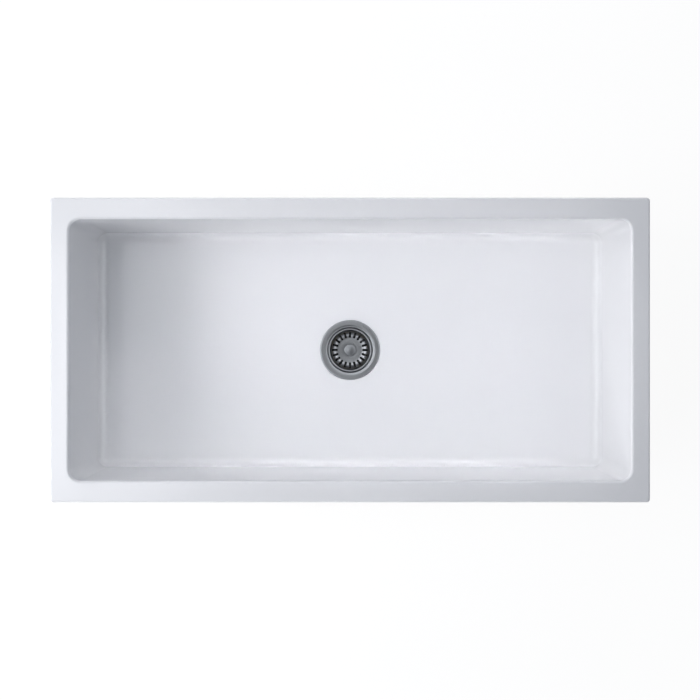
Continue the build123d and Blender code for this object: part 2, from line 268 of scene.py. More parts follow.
rim_outer_round = 4.0
base_edge_round = 5.0
upright_corner_round = 6.0
side_wall = 32.0
front_wall = 36.0
bowl_depth = 228.0
bowl_draft = 0.3
bowl_corner_radius = 20.0
bowl_floor_fillet = 18.0
rim_inner_round = 4.5
drain_hole_radius = 45.0
drain_edge_round = 5.0
recess_radius = 70.0
recess_depth = 8.0
recess_root_fillet = 4.0
clay_edge_round = 0.8


def extent(node):
    """The lowest and highest corners of a node of the frame, in millimetres."""
    low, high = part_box(node)
    return np.array(low) / mm, np.array(high) / mm


def rounded(corners, bends, closed=True, steps=8):
    """A line through (radius, height) corners, each turned in an arc of its bend's radius. With t from 0 to 1
    a point of the arc is its centre + (sin((1 - t) turn) start + sin(t turn) end) / sin(turn), where start
    and end lead from the centre to the arc's ends. A point on each straight run, up to a fifth of the bend
    off, keeps it flat in shading, and a corner with no bend or no turn stays one point. Returns the points
    and the number of the corner that each belongs to."""
    corners = np.array(corners, float)
    last = len(corners) if closed else len(corners) - 1
    points, numbers = ([], []) if closed else ([corners[:1]], [[0]])
    for number in range(0 if closed else 1, last):
        corner = corners[number]
        arriving = corner - corners[number - 1]
        leaving = corners[(number + 1) % len(corners)] - corner
        before, after = np.hypot(*arriving), np.hypot(*leaving)
        arriving, leaving = arriving / before, leaving / after
        turn = np.arccos(np.clip(arriving @ leaving, -1, 1))
        bend = bends[number if closed else number - 1]
        if bend * turn < 1e-6:
            points.append([corner])
            numbers.append([number])
            continue
        reach = bend * np.tan(turn / 2)
        start, end = corner - arriving * reach, corner + leaving * reach
        run_in, run_out = np.clip([(before - reach) / 2, (after - reach) / 2], 0, bend / 5)
        inward = (leaving - arriving) / np.hypot(*(leaving - arriving))
        centre = corner + inward * bend / np.cos(turn / 2)
        t = np.linspace(0, 1, steps + 1)[:, None]
        to_start, to_end = np.sin((1 - t) * turn) * (start - centre), np.sin(t * turn) * (end - centre)
        arc = centre + (to_start + to_end) / np.sin(turn)
        points.append(np.vstack([start - arriving * run_in, arc, end + leaving * run_out]))
        numbers.append([number] * len(points[-1]))
    if not closed:
        points.append(corners[-1:])
        numbers.append([last])
    return np.vstack(points), np.concatenate(numbers)


def skin(name, *grids, sharp=50):
    """One mesh of grids of points, rows x columns x (x, y, z): each four neighbours are a face. Points that
    coincide are merged, which closes seams and poles, and edges that turn by more than sharp degrees stay
    crisp."""
    faces, first = [], 0
    for grid in grids:
        number = first + np.arange(grid[..., 0].size).reshape(grid.shape[:2])
        quads = np.stack([number[:-1, :-1], number[:-1, 1:], number[1:, 1:], number[1:, :-1]], axis=-1)
        faces.append(quads.reshape(-1, 4))
        first += number.size
    points = np.concatenate([grid.reshape(-1, 3) for grid in grids]) * mm
    mesh = bpy.data.meshes.new(name)
    mesh.from_pydata(points.tolist(), [], np.concatenate(faces).tolist())
    shape = bmesh.new()
    shape.from_mesh(mesh)
    bmesh.ops.remove_doubles(shape, verts=shape.verts, dist=0.002 * mm)
    bmesh.ops.recalc_face_normals(shape, faces=shape.faces)
    shape.to_mesh(mesh)
    shape.free()
    mesh.shade_smooth()
    mesh.set_sharp_from_angle(angle=np.radians(sharp))
    piece = bpy.data.objects.new(name, mesh)
    bpy.context.scene.collection.objects.link(piece)
    return piece


def fit(piece, node, body, material):
    """Hides a node and puts a piece in its stead, with a material, riding on a body."""
    piece.data.materials.append(material)
    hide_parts(node)
    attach(piece, body)


def finish(name, inputs):
    """A new material, whose Principled shader has these inputs. Returns it with its tree, its shader and the
    place on the piece, in metres."""
    made = bpy.data.materials.new(name)
    made.use_nodes = True
    shader = made.node_tree.nodes["Principled BSDF"]
    feed(shader, inputs)
    return made, made.node_tree, shader, add(made.node_tree, "TexCoord")["Object"]


# Fired glaze: glass of index 1.5 over an opaque white body, smooth as a mirror but for a faint ripple.
# Bare fireclay shows under the sink and in the recess: buff, matt and gritty, up to an uneven glaze line.
glaze_roughness = 0.02
glaze_ripple = 14.0
glaze_ripple_depth = 0.003
white_cloud = 140.0
clay_roughness = 0.85
clay_grit = 0.9
clay_grit_depth = 0.05
glaze_line = 2.4
glaze_line_wander = 1.6
glaze_line_wave = 9.0
glaze_line_blur = 0.15
bare_recess_reach = 5.0
bare_recess_rise = recess_depth - 0.5
fireclay, tree, shader, place = finish("glazed_fireclay", {"Roughness": glaze_roughness, "IOR": 1.5})
level = add(tree, "SeparateXYZ", {0: place})["Z"]
across = add(tree, "VectorMath", {0: place, 1: (1, 1, 0)}, operation="MULTIPLY")[0]
from_axis = add(tree, "VectorMath", {0: across}, operation="LENGTH")["Value"]
wander = add(tree, "TexNoise", {"Vector": place, "Scale": 1 / (glaze_line_wave * mm), "Detail": 3})
edge_level = add(tree, "MapRange", {
    "Value": wander[0], "To Min": (glaze_line - glaze_line_wander) * mm,
    "To Max": (glaze_line + glaze_line_wander) * mm,
})[0]
in_recess = add(tree, "Math", {0: from_axis, 1: (recess_radius + bare_recess_reach) * mm},
                operation="LESS_THAN")[0]
raised = add(tree, "Math", {0: in_recess, 1: bare_recess_rise * mm, 2: edge_level},
             operation="MULTIPLY_ADD")[0]
above = add(tree, "Math", {0: level, 1: raised}, operation="SUBTRACT")[0]
glazed = add(tree, "MapRange", {
    "Value": above, "From Min": -glaze_line_blur * mm, "From Max": glaze_line_blur * mm,
})[0]
cloud = add(tree, "TexNoise", {"Vector": place, "Scale": 1 / (white_cloud * mm), "Detail": 2})
speckle = add(tree, "TexNoise", {"Vector": place, "Scale": 1 / (clay_grit * mm), "Detail": 4})
ripple = add(tree, "TexNoise", {"Vector": place, "Scale": 1 / (glaze_ripple * mm), "Detail": 1})
white_body = add(tree, "Mix", {0: cloud[0], 6: srgb("F3F3F4"), 7: srgb("F4F4F5")}, data_type="RGBA")[2]
clay = add(tree, "Mix", {0: speckle[0], 6: srgb("BFB29B"), 7: srgb("E3DAC8")}, data_type="RGBA")[2]
colour = add(tree, "Mix", {0: glazed, 6: clay, 7: white_body}, data_type="RGBA")[2]
gloss = add(tree, "MapRange", {"Value": glazed, "To Min": clay_roughness, "To Max": glaze_roughness})
ripple_relief = add(tree, "Math", {0: ripple[0], 1: glaze_ripple_depth * mm}, operation="MULTIPLY")[0]
grit_relief = add(tree, "Math", {0: speckle[0], 1: clay_grit_depth * mm}, operation="MULTIPLY")[0]
relief = add(tree, "Mix", {0: glazed, 2: grit_relief, 3: ripple_relief})[0]
bump = add(tree, "Bump", {"Height": relief, "Distance": 1.0})
feed(shader, {"Base Color": colour, "Roughness": gloss[0], "Normal": bump[0]})

# The cross-section's corners, as (distance from the axis along X, height), each with its bend, how much
# narrower than long the ring through it is, and where its upright corners are centred. Rings from the
# drain's edge on are circles, and the floor between them and the bowl's foot changes from one to the other.
half_length, half_width, rim_level = extent("sink_body")[1]
bowl_half_length = half_length - side_wall
foot_half_length = bowl_half_length - bowl_depth * np.tan(np.radians(bowl_draft))
basin_floor = rim_level - bowl_depth
block_narrower = half_length - half_width
bowl_narrower = block_narrower + front_wall - side_wall
block_centre = half_length - upright_corner_round
bowl_centre = bowl_half_length - bowl_corner_radius
casting_corners = [
    (half_length, 0, base_edge_round, block_narrower, block_centre, 0),
    (half_length, rim_level, rim_outer_round, block_narrower, block_centre, 0),
    (bowl_half_length, rim_level, rim_inner_round, bowl_narrower, bowl_centre, 0),
    (foot_half_length, basin_floor, bowl_floor_fillet, bowl_narrower, bowl_centre, 0),
    (drain_hole_radius, basin_floor, drain_edge_round, 0, 0, 1),
    (drain_hole_radius, recess_depth, clay_edge_round, 0, 0, 1),
    (recess_radius, recess_depth, recess_root_fillet, 0, 0, 1),
    (recess_radius, 0, clay_edge_round, 0, 0, 1),
]
corners, bends, shapes = np.split(np.array(casting_corners), [2, 3], axis=1)
profile, number = rounded(corners, bends[:, 0], steps=12)
profile = np.vstack([profile, profile[:1]])
narrower, centre, circular = shapes[np.append(number, number[0])].T[:, :, None]
along, height = profile.T[:, :, None]


# A rounded rectangle is walked from the middle of its right side: where each column stands on it is
# (side_x, side_y), its corner's direction is turn, and spans says how many columns each stretch has.
spans = [10, 14, 26, 14, 20, 14, 26, 14, 10]
stretch = np.append(np.concatenate([i + np.arange(n) / n for i, n in enumerate(spans)]), len(spans))
stops = np.arange(len(spans) + 1)
side_x = np.interp(stretch, stops, [1, 1, 1, -1, -1, -1, -1, 1, 1, 1])
side_y = np.interp(stretch, stops, [0, 1, 1, 1, 1, -1, -1, -1, -1, 0])
turn = np.radians(np.interp(stretch, stops, [0, 0, 90, 90, 180, 180, 270, 270, 360, 360]))
around = np.linspace(0, 2 * np.pi, len(stretch))
centre = np.minimum(centre, along)
corner_radius = along - centre
straight_x = side_x * centre + corner_radius * np.cos(turn)
straight_y = side_y * (centre - narrower) + corner_radius * np.sin(turn)
casting_points = np.stack([
    (1 - circular) * straight_x + circular * along * np.cos(around),
    (1 - circular) * straight_y + circular * along * np.sin(around),
    np.broadcast_to(height, straight_x.shape),
], axis=-1)
fit(skin("casting", casting_points), "sink_body", "sink_and_waste", fireclay)


# ---- The seal under the dish ----
# A flat ring of black EPDM rubber, cut from sheet. It lies between the dish's lip and the glazed floor,
# and the centre screw squeezes it.

rubber_edge_round = 0.4


def polar(radius, angle, height):
    """Points about the Z axis: (radius cos(angle), radius sin(angle), height)."""
    return np.stack(np.broadcast_arrays(radius * np.cos(angle), radius * np.sin(angle), height), axis=-1)


def turned(outline, columns=96, closed=True):
    """Carries an outline of (radius, height) once round the Z axis."""
    line = np.vstack([outline, outline[:1]]) if closed else np.asarray(outline)
    radius, height = line.T[:, :, None]
    return polar(radius, np.linspace(0, 2 * np.pi, columns + 1), height)


def ring(inner, outer, bottom, top, bend):
    """The outline of a flat ring between two radii and two levels, with its edges rounded."""
    return rounded([(inner, bottom), (outer, bottom), (outer, top), (inner, top)], [bend] * 4, steps=4)[0]


# EPDM rubber: moulded, near black and matt, with a faint grey bloom in patches.
rubber_bloom = 6.0
rubber_grain = 0.5
rubber_grain_depth = 0.01
rubber, tree, shader, place = finish("moulded_epdm_rubber", {"Roughness": 0.62, "IOR": 1.52})
bloom = add(tree, "TexNoise", {"Vector": place, "Scale": 1 / (rubber_bloom * mm), "Detail": 4})
grain = add(tree, "TexNoise", {"Vector": place, "Scale": 1 / (rubber_grain * mm), "Detail": 2})
colour = add(tree, "Mix", {0: bloom[0], 6: srgb("161617"), 7: srgb("2E2E30")}, data_type="RGBA")
bump = add(tree, "Bump", {"Height": grain[0], "Distance": rubber_grain_depth * mm})
feed(shader, {"Base Color": colour[2], "Normal": bump[0]})

seal_low, seal_high = extent("flange_seal")
seal_hole_radius = drain_hole_radius + drain_edge_round
dish_seal = ring(seal_hole_radius, seal_high[0], seal_low[2], seal_high[2], rubber_edge_round)
dish_seal_piece = skin("dish_seal", turned(dish_seal, columns=128))
fit(dish_seal_piece, "flange_seal", "sink_and_waste", rubber)


# ---- The waste dish ----
# Spun from one stainless steel sheet: a broad lip over the drain's edge, a sloping mouth, a cup, the
# ledge that the plug seals on and a sump with eight holes. Its centre screw holds it down.

dish_sheet = 1.0
lip_gap = 0.1
lip_bend = 1.8
mouth_radius = drain_hole_radius + 2.4
mouth_drop = 1.1
mouth_bend = 1.0
press_bend = 2.0
cup_radius = drain_hole_radius - 2.3
ledge_radius = cup_radius - 9.2
ledge_bend = 1.0
sump_depth = 15.0
sump_radius = ledge_radius - 2.0
screw_hole_radius = 4.2
dish_hole_radius = 5.5
dish_hole_circle = 20.0
dish_hole_count = 8
dish_hole_ring = (13.2, 27.0)
sheared_edge = 0.12


def offset_sides(line, sheet):
    """Both faces of a sheet: its centre line moved by half its thickness along the mean of the normals before
    and after each point. Returns the face on the left of the line, the face on its right, and the line's
    direction."""
    run = np.diff(line, axis=0)
    run = run[np.hypot(*run.T) > 1e-9]
    line = np.vstack([line[:1], line[0] + np.cumsum(run, axis=0)])
    run /= np.hypot(*run.T)[:, None]
    along = np.vstack([run[:1], run[:-1] + run[1:], run[-1:]])
    along /= np.hypot(*along.T)[:, None]
    left = along[:, ::-1] * (-1, 1)
    return line + left * sheet / 2, line - left * sheet / 2, along


def end_cap(face, other, along):
    """The half round end of a sheet between its two faces, bulging along a direction: with a from 0 to 180
    degrees, a point is the middle + cos(a) (face - middle) + sin(a) along x half the thickness."""
    middle = (face + other) / 2
    a = np.radians(np.linspace(0, 180, 7))[:, None]
    return middle + np.cos(a) * (face - middle) + np.sin(a) * along * np.hypot(*(face - middle))


def loop(outer_centre, inner_centre, radius, reach, ends, sides):
    """A hole's edge in plan, as (distance out, distance across): arcs of +-reach round the outer and the
    inner centre, joined by sides on which both the centre and the direction change evenly."""
    half = np.pi / 2
    turn = np.concatenate([
        np.linspace(-reach, reach, ends + 1)[:-1],
        np.linspace(reach, 2 * half - reach, sides + 1)[:-1],
        np.linspace(2 * half - reach, 2 * half + reach, ends + 1)[:-1],
        np.linspace(2 * half + reach, 4 * half - reach, sides + 1),
    ])
    centre = np.concatenate([
        np.full(ends, outer_centre), np.linspace(outer_centre, inner_centre, sides + 1)[:-1],
        np.full(ends, inner_centre), np.linspace(inner_centre, outer_centre, sides + 1),
    ])
    return centre + radius * np.cos(turn), radius * np.sin(turn)


def pierced_sheet(faces, hole_ring, count, hole, ends, sides):
    """The grids of a turned sheet with a row of like holes between two radii. In each sector a grid runs from
    the sector's border to the hole's edge on the upper face, through the hole, and out to the border on the
    lower one. Distance from the axis and angle change evenly on the way, and the height follows the face."""
    inner, outer = hole_ring
    half = np.pi / count
    border_radius = np.concatenate([
        np.full(ends, outer), np.linspace(outer, inner, sides + 1)[:-1],
        np.full(ends, inner), np.linspace(inner, outer, sides + 1),
    ])
    border_angle = np.concatenate([
        np.linspace(-half, half, ends + 1)[:-1], np.full(sides, half),
        np.linspace(half, -half, ends + 1)[:-1], np.full(sides + 1, -half),
    ])
    shares = (1, 0.55, 0.25, 0.08, 0)
    rows = []
    out, across = hole(sheared_edge)
    for face, border_shares in zip(faces, (shares, shares[::-1])):
        order = np.argsort(face[:, 0])
        for share in border_shares:
            radius = share * border_radius + (1 - share) * np.hypot(out, across)
            angle = share * border_angle + (1 - share) * np.arctan2(across, out)
            rows.append([radius, angle, np.interp(radius, face[order, 0], face[order, 1])])
    upper_edge, lower_edge = rows[len(shares) - 1][2], rows[len(shares)][2]
    into = sheared_edge * np.sign(lower_edge - upper_edge)
    out, across = hole(0)
    radius, angle = np.hypot(out, across), np.arctan2(across, out)
    rows[len(shares) : len(shares)] = [[radius, angle, upper_edge + into], [radius, angle, lower_edge - into]]
    radius, angle, height = np.array(rows).transpose(1, 0, 2)
    return [polar(radius, angle + turn, height) for turn in 2 * half * np.arange(count)]


def sheet_metal(line, sheet, hole_ring, count, hole, ends, sides):
    """All grids of a turned sheet with a row of holes: the ring that the holes are in, and the sheet outside
    and inside it. The line runs from the outer edge inwards."""
    left, right, along = offset_sides(line, sheet)
    plain = []
    for outside, edge, end, way in ((True, hole_ring[1], 0, -along[0]), (False, hole_ring[0], -1, along[-1])):
        cut = []
        for face in (left, right):
            kept = face[face[:, 0] > edge] if outside else face[face[:, 0] < edge]
            order = np.argsort(face[:, 0])
            border = [[edge, np.interp(edge, face[order, 0], face[order, 1])]]
            cut.append(np.vstack([kept, border] if outside else [border, kept]))
        cap = end_cap(left[end], right[end], way)[1:-1]
        strip = [cut[0][::-1], cap, cut[1]] if outside else [cut[0], cap, cut[1][::-1]]
        plain.append(turned(np.vstack(strip), count * ends, closed=False))
    return plain + pierced_sheet((left, right), hole_ring, count, hole, ends, sides)


# Stainless steel, spun and then brushed in circles: satin, with fine arcs about 0.1 mm apart. They are
# drawn 0.7 mm apart, which is as fine as shows, and wander in and out as they go round.
brush_spacing = 0.7
brush_depth = 0.012
brush_drift = (1.6, 1.6, 2.5)
brush_contrast = 0.1
smear_size = 16.0
smear_share = 0.35


def brushed(name, light, dark, rough, spacing, depth):
    """Steel brushed in circles about the Z axis: noise over (radius, height) in steps of the spacing, shifted
    a little with the direction so that no stroke closes on itself."""
    made, tree, shader, place = finish(name, {"Metallic": 1.0, "Anisotropic": 0.35})
    flat = add(tree, "VectorMath", {0: place, 1: (1, 1, 0)}, operation="MULTIPLY")[0]
    radius = add(tree, "VectorMath", {0: flat}, operation="LENGTH")["Value"]
    level = add(tree, "SeparateXYZ", {0: place})["Z"]
    section = add(tree, "CombineXYZ", {0: radius, 1: level})[0]
    strokes = add(tree, "VectorMath", {0: section, 3: 1 / (spacing * mm)}, operation="SCALE")
    bearing = add(tree, "VectorMath", {0: flat}, operation="NORMALIZE")
    drift = add(tree, "VectorMath", {0: bearing[0], 1: brush_drift, 2: strokes[0]}, operation="MULTIPLY_ADD")
    brush = add(tree, "TexNoise", {"Vector": drift[0], "Scale": 1.0, "Detail": 4})
    smear = add(tree, "TexNoise", {"Vector": place, "Scale": 1 / (smear_size * mm), "Detail": 3})
    both = add(tree, "Mix", {0: smear_share, 2: brush[0], 3: smear[0]})[0]
    colour = add(tree, "Mix", {0: both, 6: srgb(dark), 7: srgb(light)}, data_type="RGBA")
    roughness = add(tree, "MapRange", {
        "Value": both, "To Min": rough + brush_contrast, "To Max": rough - brush_contrast,
    })
    bump = add(tree, "Bump", {"Height": brush[0], "Distance": depth * mm})
    feed(shader, {"Base Color": colour[2], "Roughness": roughness[0], "Normal": bump[0]})
    return made


spun_steel = brushed("spun_stainless_steel", "BEC0C3", "919498", 0.3, brush_spacing, brush_depth)

dish_low, dish_high = extent("waste_flange")
lip_radius = dish_high[0] - dish_sheet / 2
lip_centre = dish_high[2] - dish_sheet / 2
ledge_level = dish_low[2] + dish_sheet / 2 + sump_depth
dish_line = rounded([
    (lip_radius, basin_floor + lip_gap + dish_sheet / 2),
    (lip_radius, lip_centre),
    (mouth_radius, lip_centre),
    (cup_radius, lip_centre - mouth_drop),
    (cup_radius, ledge_level),
    (ledge_radius, ledge_level),
    (sump_radius, ledge_level - sump_depth),
    (screw_hole_radius + dish_sheet / 2, ledge_level - sump_depth),
], [lip_bend, mouth_bend, press_bend, press_bend, ledge_bend, press_bend], closed=False)[0]


def dish_hole(growth):
    """A round hole in the sump, grown by a little at its edge."""
    return loop(dish_hole_circle, dish_hole_circle, dish_hole_radius + growth, np.pi / 4, 16, 8)


dish_grids = sheet_metal(dish_line, dish_sheet, dish_hole_ring, dish_hole_count, dish_hole, 16, 8)
fit(skin("waste_dish", *dish_grids), "waste_flange", "sink_and_waste", spun_steel)


# ---- The seal under the sink ----
# A thick ring of black EPDM rubber, square in section. It is clamped between the bare clay of the recess
# and the waste body's flange.

body_seal_width = 8.0
seal_low, seal_high = extent("body_seal")
seal_hole_radius = seal_high[0] - body_seal_width
body_seal = ring(seal_hole_radius, seal_high[0], seal_low[2], seal_high[2], rubber_edge_round)
body_seal_piece = skin("recess_seal", turned(body_seal, columns=128))
fit(body_seal_piece, "body_seal", "sink_and_waste", rubber)


# ---- The waste body ----
# One polypropylene moulding: a flange, a ribbed cup that is gripped while the screw is tightened, a
# funnel, an outlet with a 1 1/2 inch pipe thread, and inside it a spider whose hub holds a brass nut.

moulded_edge = 0.4
body_flange_thickness = 4.0
body_flange_edge = 1.0
body_flange_root = 2.0
body_cup_radius = drain_hole_radius + 5.0
body_wall = 3.5
body_bend = 5.0
cup_depth = 22.0
funnel_depth = 18.0
outlet_wall = 3.4
outlet_radius = 23.9
grip_rib_count = 16
grip_rib_height = 2.0
grip_rib_width = 3.0
grip_rib_length = 17.0
grip_rib_fillet = 0.8
grip_rib_foot = 1.2
thread_pitch = 25.4 / 11
thread_depth = 1.48
thread_chamfer = 1.3
thread_run_in = 0.6
thread_run_out = 4.0
thread_stop = 4.0
hub_radius = 10.0
hub_hole_radius = 4.2
hub_length = 18.0
hub_drop = 4.0
hub_bend = 7.0
spider_rib = 3.0
spider_fillet = 1.5
spider_edge = 0.25
spider_sink = 0.2

# Polypropylene: moulded, black, with a fine even texture that breaks up its sheen, and the faint
# shades that the plastic's flow left.
plastic_texture = 0.45
plastic_texture_depth = 0.015
plastic_flow = 20.0
plastic, tree, shader, place = finish("moulded_black_polypropylene", {"Roughness": 0.42, "IOR": 1.49})
texture = add(tree, "TexNoise", {"Vector": place, "Scale": 1 / (plastic_texture * mm), "Detail": 3})
flow = add(tree, "TexNoise", {"Vector": place, "Scale": 1 / (plastic_flow * mm), "Detail": 2})
colour = add(tree, "Mix", {0: flow[0], 6: srgb("1E1E20"), 7: srgb("2A2A2D")}, data_type="RGBA")
roughness = add(tree, "MapRange", {"Value": texture[0], "To Min": 0.36, "To Max": 0.5})
bump = add(tree, "Bump", {"Height": texture[0], "Distance": plastic_texture_depth * mm})
feed(shader, {"Base Color": colour[2], "Roughness": roughness[0], "Normal": bump[0]})

body_low, body_high = extent("waste_body")
cup_bottom = -cup_depth
outlet_top = cup_bottom - funnel_depth
thread_bottom = body_low[2] + moulded_edge
thread_top = outlet_top - thread_stop
thread_foot = outlet_radius - thread_chamfer
flange_bottom = body_high[2] - body_flange_thickness
rib_foot = flange_bottom - grip_rib_length
body_outline = rounded([
    (thread_foot, thread_bottom),
    (thread_foot, body_low[2]),
    (outlet_radius - outlet_wall, body_low[2]),
    (outlet_radius - outlet_wall, outlet_top + body_wall / 2),
    (body_cup_radius - body_wall, cup_bottom + body_wall / 2),
    (body_cup_radius - body_wall, body_high[2]),
    (body_high[0], body_high[2]),
    (body_high[0], flange_bottom),
    (body_cup_radius, flange_bottom),
    (body_cup_radius, rib_foot),
    (body_cup_radius, cup_bottom),
    (outlet_radius, outlet_top),
    (outlet_radius, thread_top),
], [
    moulded_edge, moulded_edge, body_bend, body_bend, moulded_edge, body_flange_edge, body_flange_edge,
    body_flange_root, 0, body_bend, body_bend,
], closed=False)[0]

# The grip ribs: each column has a rib weight, which falls from 1 to 0 over a small fillet on each side of
# a rib, and each row has one that falls to 0 at the ribs' lower end. Columns stand close at a rib's sides.
rib_offsets = np.array([0, 0.8, 1.2, 1.5, 1.8, 2.2, 3.0, 5.0, 7.5])
rib_period = 2 * np.pi * body_cup_radius / grip_rib_count
rib_columns = np.concatenate([rib_offsets, rib_period - rib_offsets[::-1]])[:-1] / body_cup_radius
rib_turns = np.arange(grip_rib_count)[:, None] * 2 * np.pi / grip_rib_count
body_angle = np.append((rib_turns + rib_columns).ravel(), 2 * np.pi)


def smooth(value):
    """The smooth step: 3 v squared - 2 v cubed, for v held between 0 and 1."""
    value = np.clip(value, 0, 1)
    return value * value * (3 - 2 * value)


from_rib = np.abs((body_angle * body_cup_radius + rib_period / 2) % rib_period - rib_period / 2)
rib_column = smooth((grip_rib_width / 2 + grip_rib_fillet / 2 - from_rib) / grip_rib_fillet)
rib_rows = np.concatenate([[0.3, 0.7, 1.2, 2.0], np.linspace(4, grip_rib_length - body_flange_root, 4)])
wall = np.column_stack([np.full(len(rib_rows), body_cup_radius), rib_foot + rib_rows[::-1]])
on_wall = body_outline[:, 0] == body_cup_radius
foot_row = np.flatnonzero(on_wall & (body_outline[:, 1] <= rib_foot + 0.1))[0]
body_outline = np.vstack([body_outline[:foot_row], wall, body_outline[foot_row:]])
outline_radius, outline_level = body_outline.T[:, :, None]
on_cup = (outline_radius >= body_cup_radius - 0.01) & (outline_level < flange_bottom)
rib_row = smooth((outline_level - rib_foot) / grip_rib_foot) * on_cup
ribbed_radius = outline_radius + grip_rib_height * rib_row * rib_column
on_flange = outline_radius > body_cup_radius + grip_rib_height
body_radius = np.where(on_flange, outline_radius, np.minimum(ribbed_radius, body_high[0]))
body_grid = polar(body_radius, body_angle, outline_level)

# The pipe thread: rows climb by one pitch a turn, the radius swings between crest and root as a cosine, and
# rows past either end are held at it. The root fades out at both ends, and the foot has a chamfer.
rows_per_pitch = 10
row = np.arange(rows_per_pitch * (int((thread_top - thread_bottom) / thread_pitch) + 3))[:, None]
thread_level = thread_bottom + (row / rows_per_pitch - 1 + body_angle / (2 * np.pi)) * thread_pitch
thread_level = np.clip(thread_level, thread_bottom, thread_top)
depth = thread_depth * (0.5 - 0.5 * np.cos(2 * np.pi * row / rows_per_pitch))
start, stop = (thread_level - thread_bottom) / thread_run_in, (thread_top - thread_level) / thread_run_out
thread_radius = outlet_radius - depth * smooth(start) * smooth(stop)
thread_radius = np.minimum(thread_radius, thread_foot + thread_level - thread_bottom)
thread_grid = polar(thread_radius, body_angle, thread_level)

# The spider: a star-shaped plan of hub and ribs. Its top is flat, and its underside follows the funnel.
rib_half, rib_end = spider_rib / 2, body_cup_radius - body_wall / 2
quarter = np.array([
    (rib_end, rib_half), (hub_radius, rib_half), (hub_radius, hub_radius), (rib_half, hub_radius),
    (rib_half, rib_end),
])
right_angles = np.arange(4) * np.pi / 2
turns = [np.array([[np.cos(a), np.sin(a)], [-np.sin(a), np.cos(a)]]) for a in right_angles]
star_corners = np.vstack([quarter @ turn for turn in turns])
star = rounded(star_corners, [0.3, spider_fillet, hub_bend, spider_fillet, 0.3] * 4)[0]
star = np.vstack([star, star[:1]])
star_radius = np.hypot(*star.T)
star_angle = np.arctan2(star[:, 1], star[:, 0])
spider_top = dish_low[2] - hub_drop
spider_bottom = spider_top - hub_length
funnel_slope = (cup_bottom - outlet_top) / (body_cup_radius - outlet_radius)


def under_spider(radius):
    """The level of the spider's underside: flat under the hub, and just inside the funnel's wall further
    out."""
    return np.maximum(spider_bottom, outlet_top + (radius - outlet_radius) * funnel_slope + spider_sink)


# Rows stand closer towards the star's edge, which is rounded down from 97 hundredths of the way out.
share = np.array([0, 0.3, 0.7, 0.93, 0.97, 0.99, 1.0])[:, None]
upper = hub_hole_radius + share * (star_radius - hub_hole_radius)
upper_level = np.broadcast_to(spider_top - spider_edge * smooth((share - 0.97) / 0.03), upper.shape)
lower = upper[::-1]
spider_radius = np.vstack([upper, lower, upper[:1]])
spider_level = np.vstack([upper_level, under_spider(lower), upper_level[:1]])
spider_grid = polar(spider_radius, star_angle, spider_level)
waste_moulding = skin("waste_moulding", body_grid, thread_grid, spider_grid)
fit(waste_moulding, "waste_body", "sink_and_waste", plastic)


# ---- The hub nut ----
# A long hexagon nut, cut from drawn brass bar, bevelled at both ends and pressed into the plastic hub.
# The centre screw's thread runs in it.

nut_corner = 0.4
nut_bevel = 0.6
bevel_start = 0.72
nut_bore = 4.0

# Brass: machined bright, with fine turning marks and a slight brown tarnish in patches. The marks are
# 0.4 mm apart along the axis and long across it, given here as marks a metre.
brass_marks = (300, 300, 2500)
brass_mark_depth = 0.006
tarnish_patch = 5.0
brass, tree, shader, place = finish("machined_brass", {"Metallic": 1.0})
stretched = add(tree, "VectorMath", {0: place, 1: brass_marks}, operation="MULTIPLY")[0]
marks = add(tree, "TexNoise", {"Vector": stretched, "Scale": 1.0, "Detail": 3})[0]
patch = add(tree, "TexNoise", {"Vector": place, "Scale": 1 / (tarnish_patch * mm), "Detail": 4})
colour = add(tree, "Mix", {0: patch[0], 6: srgb("B98C4A"), 7: srgb("E3C27C")}, data_type="RGBA")
roughness = add(tree, "MapRange", {"Value": marks, "To Min": 0.2, "To Max": 0.34})
bump = add(tree, "Bump", {"Height": marks, "Distance": brass_mark_depth * mm})
feed(shader, {"Base Color": colour[2], "Roughness": roughness[0], "Normal": bump[0]})

nut_low, nut_high = extent("hub_nut")
nut_flat = nut_high[1]
hexagon_turn = np.radians(np.arange(6) * 60)
hexagon_corners = np.column_stack([np.cos(hexagon_turn), np.sin(hexagon_turn)]) * nut_flat / np.cos(np.pi / 6)
hexagon = rounded(hexagon_corners, [nut_corner] * 6, steps=4)[0]
hexagon = np.vstack([hexagon, hexagon[:1]])
hexagon_radius = np.hypot(*hexagon.T)
hexagon_angle = np.arctan2(hexagon[:, 1], hexagon[:, 0])
# Rows as (share of the way from the bore to the hexagon, level), from the bore's top round to it again.
nut_rows = [
    (0, nut_high[2]), (bevel_start, nut_high[2]), (1, nut_high[2] - nut_bevel), (1, nut_low[2] + nut_bevel),
    (bevel_start, nut_low[2]), (0, nut_low[2]), (0, nut_high[2]),
]
share, nut_level = np.array(nut_rows).T[:, :, None]
nut_radius = nut_bore + share * (hexagon_radius - nut_bore)
nut_points = polar(nut_radius, hexagon_angle, nut_level)
fit(skin("brass_hub_nut", nut_points, sharp=25), "hub_nut", "sink_and_waste", brass)


# ---- The washer under the centre screw ----
# A small washer of black EPDM rubber. The screw's collar presses it on the dish, so that no water gets
# through the screw's hole.

washer_low, washer_high = extent("screw_seal")
washer = ring(screw_hole_radius, washer_high[0], washer_low[2], washer_high[2], rubber_edge_round)
washer_piece = skin("screw_washer", turned(washer, columns=64))
fit(washer_piece, "screw_seal", "sink_and_waste", rubber)


# ---- The centre screw ----
# Turned from stainless bar: a threaded shank, a collar and a hollow head with a coin slot across it,
# in which the plug's stem is guided. It clamps the dish, the sink and the waste body together.

